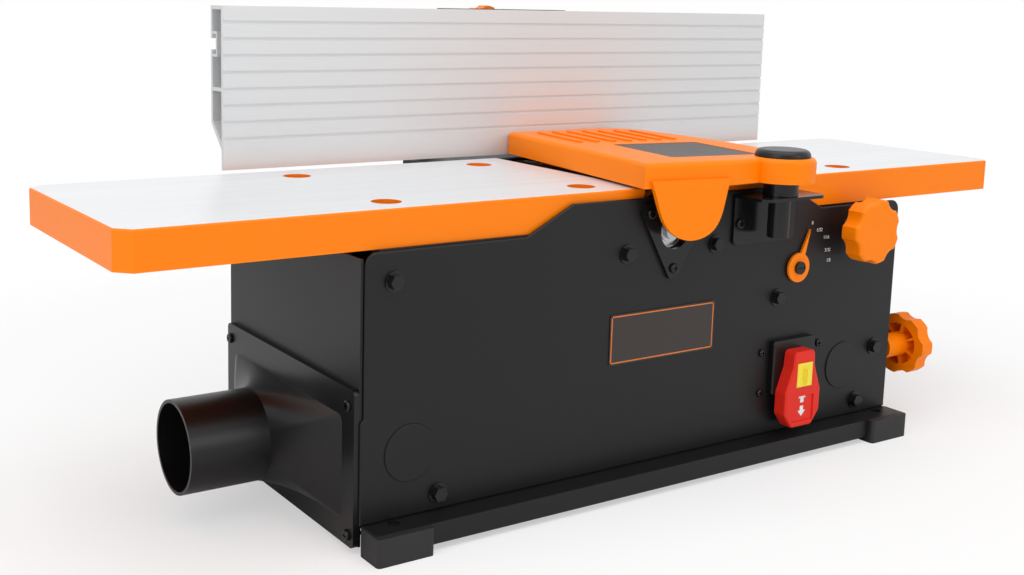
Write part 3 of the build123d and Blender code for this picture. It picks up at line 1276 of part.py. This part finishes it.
CLAMP_X = -2.0
CLAMP_Z = SLOT_Z + 11
CLAMP_Y = FENCE_BACK + gap + 22.3
clamp_plane = Plane(origin=(CLAMP_X, CLAMP_Y, CLAMP_Z), x_dir=(1, 0, 0), z_dir=(0, 1, 0))
with BuildPart() as fence_clamp_knob:
    with BuildSketch(clamp_plane):
        Circle(KNOB_R - 5)
        with PolarLocations(KNOB_R + 5.0, KNOB_LOBES):
            Circle(12.0, mode=Mode.SUBTRACT)
    extrude(amount=KNOB_T - 2)
    fillet(fence_clamp_knob.faces().sort_by(Axis.Y)[-1].edges(), 2.5)
    rod_y(CLAMP_X, CLAMP_Z, STUD_R, (FENCE_BACK + gap + 4.3, CLAMP_Y + 8))
save("fence_clamp_knob", fence_clamp_knob)
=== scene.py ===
"""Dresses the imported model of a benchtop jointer: finishes, printed marks, light and camera."""
import math

import bpy
import bmesh
from mathutils import Matrix, Vector


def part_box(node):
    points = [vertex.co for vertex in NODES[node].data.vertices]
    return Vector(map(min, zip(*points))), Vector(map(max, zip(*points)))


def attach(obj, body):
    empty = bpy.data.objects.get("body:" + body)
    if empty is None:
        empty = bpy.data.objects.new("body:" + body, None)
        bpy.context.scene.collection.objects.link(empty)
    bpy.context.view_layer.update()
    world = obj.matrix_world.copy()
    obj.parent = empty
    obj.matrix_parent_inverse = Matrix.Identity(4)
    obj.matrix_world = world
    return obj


bl_info = {
    "name": "Benchtop Jointer Dressing",
    "version": (1, 0, 0),
    "blender": (4, 5, 0),
    "location": "View3D > Sidebar > Jointer",
    "description": "Finishes, printed marks, light and camera for a benchtop jointer",
    "category": "Object",
}

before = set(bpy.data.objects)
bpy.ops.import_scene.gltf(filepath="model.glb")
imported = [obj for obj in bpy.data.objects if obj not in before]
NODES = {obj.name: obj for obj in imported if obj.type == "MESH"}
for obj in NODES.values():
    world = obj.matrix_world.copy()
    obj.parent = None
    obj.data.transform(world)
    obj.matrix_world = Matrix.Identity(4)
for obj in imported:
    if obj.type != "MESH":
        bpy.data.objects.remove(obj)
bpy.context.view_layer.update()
MM = 0.001

# The sockets of a Mix node that is set to colours.
MIX_A = 6
MIX_B = 7
MIX_RESULT = 2


# ---------------------------------------------------------------- small tools
def linear(code):
    """The linear colour of an sRGB hex value."""
    parts = [int(code[i : i + 2], 16) / 255 for i in (0, 2, 4)]
    return tuple(c / 12.92 if c <= 0.04045 else ((c + 0.055) / 1.055) ** 2.4 for c in parts)


def opaque(colour):
    """A colour with a full alpha."""
    return (*colour, 1.0)


def add_node(tree, kind, inputs=None, **settings):
    """A node with its settings, and its inputs as values or linked sockets."""
    made = tree.nodes.new(kind)
    for key, value in settings.items():
        setattr(made, key, value)
    for key, value in (inputs or {}).items():
        if isinstance(value, bpy.types.NodeSocket):
            tree.links.new(value, made.inputs[key])
        else:
            made.inputs[key].default_value = value
    return made


def shader(name, roughness, metallic=0.0, **sockets):
    """A new material: its tree, its Principled shader and its object coordinates."""
    material = bpy.data.materials.new(name)
    material.use_nodes = True
    tree = material.node_tree
    tree.nodes.clear()
    inputs = {"Roughness": roughness, "Metallic": metallic}
    inputs.update({key.replace("_", " "): value for key, value in sockets.items()})
    body = add_node(tree, "ShaderNodeBsdfPrincipled", inputs)
    add_node(tree, "ShaderNodeOutputMaterial", {"Surface": body.outputs[0]})
    place = add_node(tree, "ShaderNodeTexCoord").outputs["Object"]
    return material, tree, body, place


def grain(tree, place, size_mm, stretch=(1, 1, 1), detail=3.0):
    """Noise whose lumps are size_mm across, drawn out by stretch along each axis."""
    scaled = add_node(
        tree,
        "ShaderNodeMapping",
        {"Vector": place, "Scale": tuple(1 / s for s in stretch)},
    )
    size = 1 / (size_mm * MM)
    inputs = {"Vector": scaled.outputs[0], "Scale": size, "Detail": detail}
    return add_node(tree, "ShaderNodeTexNoise", inputs).outputs["Fac"]


def between(tree, factor, low, high):
    """A colour that goes from low to high with a factor; each end is a colour or a socket."""
    ends = [e if isinstance(e, bpy.types.NodeSocket) else opaque(e) for e in (low, high)]
    inputs = {"Factor": factor, MIX_A: ends[0], MIX_B: ends[1]}
    return add_node(tree, "ShaderNodeMix", inputs, data_type="RGBA").outputs[MIX_RESULT]


def raised(tree, height, depth_mm):
    """A bump of depth_mm from a height."""
    inputs = {"Height": height, "Distance": depth_mm * MM, "Strength": 1.0}
    return add_node(tree, "ShaderNodeBump", inputs).outputs[0]


def shade(colour, amount):
    """A colour made lighter or darker by a factor."""
    return tuple(min(c * amount, 1.0) for c in colour)


PATCH_MM = 60.0


def plain_finish(name, colour, roughness, lump_mm, depth_mm, metallic=0.0, **extra):
    """A material with a fine lumpy skin and slight patches of tone."""
    stretch = extra.pop("stretch", (1, 1, 1))
    vary = extra.pop("vary", 0.12)
    material, tree, body, place = shader(name, roughness, metallic, **extra)
    patches = grain(tree, place, PATCH_MM, detail=2.0)
    tone = between(tree, patches, shade(colour, 1 - vary), shade(colour, 1 + vary))
    tree.links.new(tone, body.inputs["Base Color"])
    skin = grain(tree, place, lump_mm, stretch)
    tree.links.new(raised(tree, skin, depth_mm), body.inputs["Normal"])
    return material


# ---------------------------------------------------------------- settings
class JointerColours(bpy.types.PropertyGroup):
    """The colours of the jointer's finishes."""

    orange: bpy.props.FloatVectorProperty(
        name="Orange",
        description="Orange of the table edges, the guard and the knobs",
        subtype="COLOR",
        default=linear("FF8200"),
    )
    black: bpy.props.FloatVectorProperty(
        name="Black",
        description="Black of the sheet-metal base",
        subtype="COLOR",
        default=linear("121213"),
    )
    red: bpy.props.FloatVectorProperty(
        name="Switch red",
        description="Red of the switch paddle",
        subtype="COLOR",
        default=linear("E02A1C"),
    )
    yellow: bpy.props.FloatVectorProperty(
        name="Key yellow",
        description="Yellow of the safety key",
        subtype="COLOR",
        default=linear("F4E04A"),
    )
    floor: bpy.props.FloatVectorProperty(
        name="Floor",
        description="Colour of the studio floor",
        subtype="COLOR",
        default=linear("F7F7F7"),
    )


class JointerSizes(bpy.types.PropertyGroup):
    """The sizes of the jointer's printed marks."""

    border: bpy.props.FloatProperty(
        name="Badge border",
        description="Width of the orange line round the bare badge",
        default=0.9 * MM,
        unit="LENGTH",
    )
    figure: bpy.props.FloatProperty(
        name="Scale figure",
        description="Height of the figures on the depth scale",
        default=4.2 * MM,
        unit="LENGTH",
    )


def colours():
    """The colour settings."""
    return bpy.context.scene.jointer_colours


def sizes():
    """The size settings."""
    return bpy.context.scene.jointer_sizes


# ---------------------------------------------------------------- finishes
TABLE_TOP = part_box("outfeed_table")[1][2]
MILLED_DEPTH = 0.05 * MM


def powder_coat():
    """Powder-coated sheet steel: an even dark skin with a fine orange peel and soft gloss."""
    black = tuple(colours().black)
    return plain_finish(
        "Powder-coated steel, black", black, 0.42, 1.4, 0.03, vary=0.06, Specular_IOR_Level=0.28
    )


def black_abs():
    """Injection-moulded ABS, polished mould: darker than the sheet and a little shinier."""
    return plain_finish(
        "Moulded ABS, black", linear("0D0D0E"), 0.34, 2.0, 0.02, Specular_IOR_Level=0.32
    )


def black_enamel():
    """Enamelled castings: a thick black paint that rounds off the casting's sand texture."""
    return plain_finish(
        "Enamelled casting, black", linear("131314"), 0.42, 3.0, 0.12, Specular_IOR_Level=0.3
    )


def orange_abs():
    """Injection-moulded ABS in orange, with a smooth satin skin."""
    orange = tuple(colours().orange)
    return plain_finish(
        "Moulded ABS, orange", orange, 0.38, 1.2, 0.012, Specular_IOR_Level=0.16, vary=0.04
    )


def table_finish():
    """Cast aluminium tables: orange enamel all over, then a milled top with fine tool lines."""
    material, tree, body, place = shader(
        "Milled and enamelled aluminium", 0.36, Specular_IOR_Level=0.2
    )
    height = add_node(tree, "ShaderNodeSeparateXYZ", {"Vector": place}).outputs["Z"]
    inputs = {0: height, 1: TABLE_TOP - MILLED_DEPTH}
    milled = add_node(tree, "ShaderNodeMath", inputs, operation="GREATER_THAN").outputs[0]
    # Milling marks about 0.8 mm apart run along the table.
    marks = grain(tree, place, 0.8, (60, 1, 1), 4.0)
    # Long streaks of painted sheen lighten and darken the colour of the milled top along the table.
    sheen = grain(tree, place, 9.0, (30, 1, 1), 3.0)
    bright = between(tree, sheen, linear("DADCDE"), linear("E8EAEC"))
    tone = between(tree, milled, tuple(colours().orange), bright)
    tree.links.new(tone, body.inputs["Base Color"])
    metal = add_node(tree, "ShaderNodeMath", {0: milled, 1: 0.35}, operation="MULTIPLY")
    tree.links.new(metal.outputs[0], body.inputs["Metallic"])
    depth = add_node(tree, "ShaderNodeMath", {0: marks, 1: milled}, operation="MULTIPLY")
    tree.links.new(raised(tree, depth.outputs[0], 0.02), body.inputs["Normal"])
    return material


def fence_finish():
    """Anodised aluminium extrusion: pale grey, with faint die lines along its length."""
    material, tree, body, place = shader(
        "Anodised aluminium extrusion", 0.48, 0.2, Specular_IOR_Level=0.2
    )
    lines = grain(tree, place, 1.0, (200, 1, 1), 4.0)
    tone = between(tree, lines, linear("D3D4D5"), linear("DADBDC"))
    tree.links.new(tone, body.inputs["Base Color"])
    tree.links.new(raised(tree, lines, 0.02), body.inputs["Normal"])
    return material


def turned_steel():
    """Machined steel of the cutterhead: bright, with turning marks about its axis."""
    return plain_finish("Turned steel", linear("B4B6B8"), 0.26, 0.7, 0.02, 1.0, stretch=(1, 20, 1))


def zinc_plate():
    """Zinc-plated fasteners: bluish grey, slightly blotched."""
    return plain_finish("Zinc-plated steel", linear("8E9092"), 0.3, 0.9, 0.02, 1.0, vary=0.2)


def black_oxide():
    """Black-oxide steel: near black with an oily sheen."""
    return plain_finish("Black-oxide steel", linear("202021"), 0.2, 0.8, 0.01, 0.5)


def ground_carbide():
    """Ground tungsten carbide: dark grey with a fine matt surface."""
    return plain_finish("Ground carbide", linear("6F7276"), 0.34, 0.5, 0.01, 1.0)


def brass():
    """Machined brass of the depth nut."""
    return plain_finish("Machined brass", linear("C6A557"), 0.28, 0.8, 0.02, 1.0)


def rubber():
    """Moulded rubber of the feet and the belt: matt black with a grainy skin."""
    return plain_finish("Moulded rubber, black", linear("131313"), 0.6, 0.9, 0.05)


def die_cast():
    """Die-cast motor shell, left unpainted: grey with a dull shine."""
    return plain_finish("Die-cast aluminium", linear("6E7072"), 0.45, 1.6, 0.06, 0.9)


def red_abs():
    """Moulded ABS of the switch paddle."""
    return plain_finish(
        "Moulded ABS, red", tuple(colours().red), 0.34, 1.2, 0.01, vary=0.03, Specular_IOR_Level=0.2
    )


def yellow_abs():
    """Moulded ABS of the safety key."""
    return plain_finish(
        "Moulded ABS, yellow", tuple(colours().yellow), 0.34, 1.2, 0.01, vary=0.03,
        Specular_IOR_Level=0.2,
    )


def label_film():
    """Printed polyester film, left bare: a dark grey with a slight sheen."""
    return plain_finish("Polyester film, charcoal", linear("3A3633"), 0.42, 0.8, 0.008)


def badge_film():
    """Printed film of the badge: a near-black brown."""
    return plain_finish("Polyester film, dark brown", linear("241A15"), 0.36, 0.8, 0.008)


def orange_ink():
    """Screen-printed orange line."""
    return plain_finish("Screen ink, orange", linear("E0731F"), 0.5, 0.6, 0.004)


def white_ink():
    """Screen-printed white marks."""
    return plain_finish("Screen ink, white", linear("E8E8E6"), 0.5, 0.6, 0.004)


FINISH_OF = {
    powder_coat: (
        "front_panel rear_panel left_end_panel right_end_panel front_rail rear_rail "
        "chip_chute knockout_discs"
    ),
    black_abs: "dust_hood belt_cover switch_bezel switch_box guard_cap",
    black_enamel: (
        "front_side_casting rear_side_casting outfeed_crossbars infeed_carriage bush_block "
        "fence_base fence_tilt_bracket"
    ),
    orange_abs: "guard lock_knob depth_knob fence_clamp_knob depth_pointer",
    table_finish: "outfeed_table infeed_table",
    fence_finish: "fence",
    turned_steel: "cutterhead head_pulley motor_pulley front_bearing rear_bearing",
    zinc_plate: (
        "slot_bolts tilt_pin leadscrew insert_screws motor_shaft "
        "lock_bushing"
    ),
    black_oxide: (
        "panel_bolts rear_bolts pan_head_screws hood_screws outfeed_screws infeed_screws "
        "bearing_retainer guard_shaft guard_bracket depth_arm tilt_lock_lever pointer_screw"
    ),
    ground_carbide: "cutter_inserts",
    brass: "depth_nut",
    rubber: "foot_caps drive_belt",
    die_cast: "motor_housing",
    red_abs: "switch_paddle",
    yellow_abs: "safety_key",
    label_film: "guard_label",
    badge_film: "badge_plate",
}


def new_piece(name, mesh_data, material, body):
    """A mesh object in the scene that rides on a body."""
    piece = bpy.data.objects.new(name, mesh_data)
    bpy.context.scene.collection.objects.link(piece)
    piece.data.materials.append(material)
    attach(piece, body)
    return piece


def flat_shape(name, loops, y, thickness):
    """A mesh of closed x, z outlines, each a plate with its back on the plane y."""
    bm = bmesh.new()
    for loop in loops:
        front = [bm.verts.new((x, y - thickness, z)) for x, z in loop]
        back = [bm.verts.new((x, y, z)) for x, z in loop]
        bm.faces.new(front)
        bm.faces.new(list(reversed(back)))
        count = len(loop)
        for i in range(count):
            j = (i + 1) % count
            bm.faces.new((front[j], front[i], back[i], back[j]))
    bmesh.ops.recalc_face_normals(bm, faces=bm.faces)
    made = bpy.data.meshes.new(name)
    bm.to_mesh(made)
    bm.free()
    return made


# ---------------------------------------------------------------- operators
class JOINTER_OT_finishes(bpy.types.Operator):
    """Gives every part of the jointer its finish"""

    bl_idname = "jointer.finishes"
    bl_label = "Finish the parts"

    def execute(self, context):
        for make, names in FINISH_OF.items():
            material = make()
            for name in names.split():
                piece = NODES[name]
                piece.data.materials.clear()
                piece.data.materials.append(material)
        return {"FINISHED"}


BADGE_INSET = 1.2 * MM
INK = 0.05 * MM


class JOINTER_OT_badge_border(bpy.types.Operator):
    """Prints the orange line round the bare badge"""

    bl_idname = "jointer.badge_border"
    bl_label = "Print the badge border"

    def execute(self, context):
        low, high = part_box("badge_plate")
        width = sizes().border
        left, right = low[0] + BADGE_INSET, high[0] - BADGE_INSET
        bottom, top = low[2] + BADGE_INSET, high[2] - BADGE_INSET
        loops = [
            ((left, bottom), (right, bottom), (right, bottom + width), (left, bottom + width)),
            ((left, top - width), (right, top - width), (right, top), (left, top)),
            ((left, bottom), (left + width, bottom), (left + width, top), (left, top)),
            ((right - width, bottom), (right, bottom), (right, top), (right - width, top)),
        ]
        outline = flat_shape("badge_border", loops, low[1], INK)
        new_piece("badge_border", outline, orange_ink(), "base")
        return {"FINISHED"}


# The x and z of each figure in millimetres, and its words.
SCALE_FIGURES = (
    ((159.4, 199.1), "0"),
    ((168.6, 192.3), "1/32"),
    ((177.7, 185.3), "1/16"),
    ((180.4, 174.0), "3/32"),
    ((182.4, 164.7), "1/8"),
)
FIGURE_THICKNESS = 0.03 * MM


class JOINTER_OT_depth_scale(bpy.types.Operator):
    """Prints the figures of the depth scale on the front panel"""

    bl_idname = "jointer.depth_scale"
    bl_label = "Print the depth scale"

    def execute(self, context):
        ink = white_ink()
        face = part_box("front_panel")[0][1]
        turn = Matrix.Rotation(math.radians(90), 4, "X")
        for i, (place, words) in enumerate(SCALE_FIGURES):
            text = bpy.data.curves.new(f"depth_figure_{i}", "FONT")
            text.body = words
            text.size = sizes().figure
            text.align_x = "CENTER"
            text.align_y = "CENTER"
            text.extrude = FIGURE_THICKNESS
            figure = bpy.data.objects.new(f"depth_figure_{i}", text)
            bpy.context.scene.collection.objects.link(figure)
            text.materials.append(ink)
            at = Vector((place[0] * MM, face - INK, place[1] * MM))
            figure.matrix_world = Matrix.Translation(at) @ turn
            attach(figure, "base")
        return {"FINISHED"}


# One arrow that points up, its two tails above the paddle's lower end, and the thumb recess.
ARROW = ((-2, 0), (-2, 4), (-4.5, 4), (0, 9), (4.5, 4), (2, 4), (2, 0))
ARROW_UP_AT = 21
ARROW_DOWN_AT = 18
PADDLE_RECESS = 1.2 * MM
ARROW_INK = 0.08 * MM


class JOINTER_OT_paddle_arrows(bpy.types.Operator):
    """Prints the two arrows on the switch paddle"""

    bl_idname = "jointer.paddle_arrows"
    bl_label = "Print the paddle arrows"

    def execute(self, context):
        low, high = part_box("switch_paddle")
        centre = (low[0] + high[0]) / 2
        up = [(centre + x * MM, low[2] + (ARROW_UP_AT + z) * MM) for x, z in ARROW]
        down = [(centre + x * MM, low[2] + (ARROW_DOWN_AT - z) * MM) for x, z in ARROW]
        face = low[1] + PADDLE_RECESS
        outline = flat_shape("paddle_arrows", (up, down), face, ARROW_INK)
        new_piece("paddle_arrows", outline, white_ink(), "paddle_body")
        return {"FINISHED"}


class JOINTER_OT_studio(bpy.types.Operator):
    """Sets the floor, the lights and the camera"""

    bl_idname = "jointer.studio"
    bl_label = "Set the studio"

    def execute(self, context):
        scene = context.scene
        floor_mesh = bpy.data.meshes.new("studio_floor")
        corners = [(x * FLOOR_REACH, y * FLOOR_REACH, 0) for x, y in FLOOR_CORNERS]
        floor_mesh.from_pydata(corners, [], [(0, 1, 2, 3)])
        floor = bpy.data.objects.new("studio_floor", floor_mesh)
        scene.collection.objects.link(floor)
        floor.data.materials.append(floor_finish())
        light_world(scene)
        for name, place, aim, size, power in LAMPS:
            lamp = bpy.data.lights.new(name, "AREA")
            lamp.shape = "RECTANGLE"
            lamp.size, lamp.size_y = size
            lamp.energy = power
            holder = bpy.data.objects.new(name, lamp)
            scene.collection.objects.link(holder)
            holder.location = place
            toward = Vector(aim) - Vector(place)
            holder.rotation_euler = toward.to_track_quat("-Z", "Y").to_euler()
        set_camera(scene)
        return {"FINISHED"}


FLOOR_REACH = 12.0
FLOOR_CORNERS = ((-1, -1), (1, -1), (1, 1), (-1, 1))
# The paper starts to fade at the first distance and is pure white at the second.
FADE_FROM = 0.4
FADE_TO = 0.95
FADE_LEAST = 0.5
SOFT_LIGHT = 0.45
# Each lamp's name, place, aim, width and depth in metres, and power in watts.
LAMPS = (
    ("softbox_top", (-0.2, -0.3, 2.2), (0, 0, 0.1), (2.6, 2.2), 34.0),
    ("softbox_left", (-2.4, -0.8, 1.1), (0, 0, 0.15), (1.6, 1.6), 16.0),
    ("softbox_front", (0.9, -2.6, 1.2), (0, 0, 0.15), (1.8, 1.2), 14.0),
)


def floor_finish():
    """Seamless white paper that carries the soft shadow and fades to pure white further out."""
    material, tree, body, place = shader("Seamless paper", 0.9)
    body.inputs["Base Color"].default_value = opaque(tuple(colours().floor))
    path = add_node(tree, "ShaderNodeLightPath")
    glow = add_node(tree, "ShaderNodeEmission", {"Color": (1, 1, 1, 1), "Strength": 1.0})
    away = add_node(tree, "ShaderNodeVectorMath", {0: place}, operation="LENGTH")
    inputs = {"Value": away.outputs["Value"], 1: FADE_FROM, 2: FADE_TO, 3: FADE_LEAST, 4: 1.0}
    fade = add_node(tree, "ShaderNodeMapRange", inputs, interpolation_type="SMOOTHSTEP")
    inputs = {0: path.outputs["Is Camera Ray"], 1: fade.outputs[0]}
    share = add_node(tree, "ShaderNodeMath", inputs, operation="MULTIPLY")
    inputs = {"Fac": share.outputs[0], 1: body.outputs[0], 2: glow.outputs[0]}
    both = add_node(tree, "ShaderNodeMixShader", inputs)
    output = next(n for n in tree.nodes if n.type == "OUTPUT_MATERIAL")
    tree.links.new(both.outputs[0], output.inputs["Surface"])
    return material


def light_world(scene):
    """A white surround for the camera and for reflections, and soft light for the object."""
    world = bpy.data.worlds.new("Studio")
    scene.world = world
    world.use_nodes = True
    tree = world.node_tree
    tree.nodes.clear()
    path = add_node(tree, "ShaderNodeLightPath")
    seen = path.outputs["Is Camera Ray"]
    for kind in ("Is Glossy Ray", "Is Transmission Ray"):
        inputs = {0: seen, 1: path.outputs[kind]}
        seen = add_node(tree, "ShaderNodeMath", inputs, operation="MAXIMUM").outputs[0]
    inputs = {"Color": (1, 1, 1, 1), "Strength": SOFT_LIGHT}
    soft = add_node(tree, "ShaderNodeBackground", inputs)
    white = add_node(tree, "ShaderNodeBackground", {"Color": (1, 1, 1, 1), "Strength": 1.0})
    inputs = {"Fac": seen, 1: soft.outputs[0], 2: white.outputs[0]}
    both = add_node(tree, "ShaderNodeMixShader", inputs)
    add_node(tree, "ShaderNodeOutputWorld", {"Surface": both.outputs[0]})
    scene.view_settings.view_transform = "Standard"


AZIMUTH = math.radians(-32.97)
ELEVATION = math.radians(8.95)
ROLL = math.radians(1.26)
CAMERA_AT = (-684.8 * MM, -839.7 * MM, 381.1 * MM)
LENS = 45.07
SENSOR = 36.0
SHIFT = (0.0644, -0.0860)


def set_camera(scene):
    """The camera, at eye height in front of the left end."""
    data = bpy.data.cameras.new("Camera")
    data.lens = LENS
    data.sensor_width = SENSOR
    data.shift_x, data.shift_y = SHIFT
    data.clip_start = 0.01
    camera = bpy.data.objects.new("Camera", data)
    scene.collection.objects.link(camera)
    flat = math.cos(ELEVATION)
    back = Vector((math.sin(AZIMUTH) * flat, -math.cos(AZIMUTH) * flat, math.sin(ELEVATION)))
    right = (-back).cross(Vector((0, 0, 1))).normalized()
    down = (-back).cross(right)
    across = math.cos(ROLL) * right - math.sin(ROLL) * down
    fall = math.sin(ROLL) * right + math.cos(ROLL) * down
    turn = Matrix((across, -fall, back)).transposed().to_4x4()
    camera.matrix_world = Matrix.Translation(CAMERA_AT) @ turn
    scene.camera = camera


class JOINTER_PT_panel(bpy.types.Panel):
    """The jointer's settings and steps"""

    bl_idname = "JOINTER_PT_panel"
    bl_label = "Jointer"
    bl_space_type = "VIEW_3D"
    bl_region_type = "UI"
    bl_category = "Jointer"

    def draw(self, context):
        for group in (context.scene.jointer_colours, context.scene.jointer_sizes):
            for key in group.__annotations__:
                self.layout.prop(group, key)
        for step in STEPS:
            self.layout.operator(step.bl_idname)


STEPS = (
    JOINTER_OT_finishes,
    JOINTER_OT_badge_border,
    JOINTER_OT_depth_scale,
    JOINTER_OT_paddle_arrows,
    JOINTER_OT_studio,
)
CLASSES = (JointerColours, JointerSizes, *STEPS, JOINTER_PT_panel)


def register():
    """Registers the classes and the settings."""
    for kind in CLASSES:
        bpy.utils.register_class(kind)
    bpy.types.Scene.jointer_colours = bpy.props.PointerProperty(type=JointerColours)
    bpy.types.Scene.jointer_sizes = bpy.props.PointerProperty(type=JointerSizes)


def unregister():
    """Removes the settings and the classes."""
    del bpy.types.Scene.jointer_sizes
    del bpy.types.Scene.jointer_colours
    for kind in reversed(CLASSES):
        bpy.utils.unregister_class(kind)


def main():
    """Registers the add-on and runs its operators."""
    register()
    for step in STEPS:
        group, name = step.bl_idname.split(".")
        getattr(getattr(bpy.ops, group), name)()


if __name__ == "__main__":
    main()
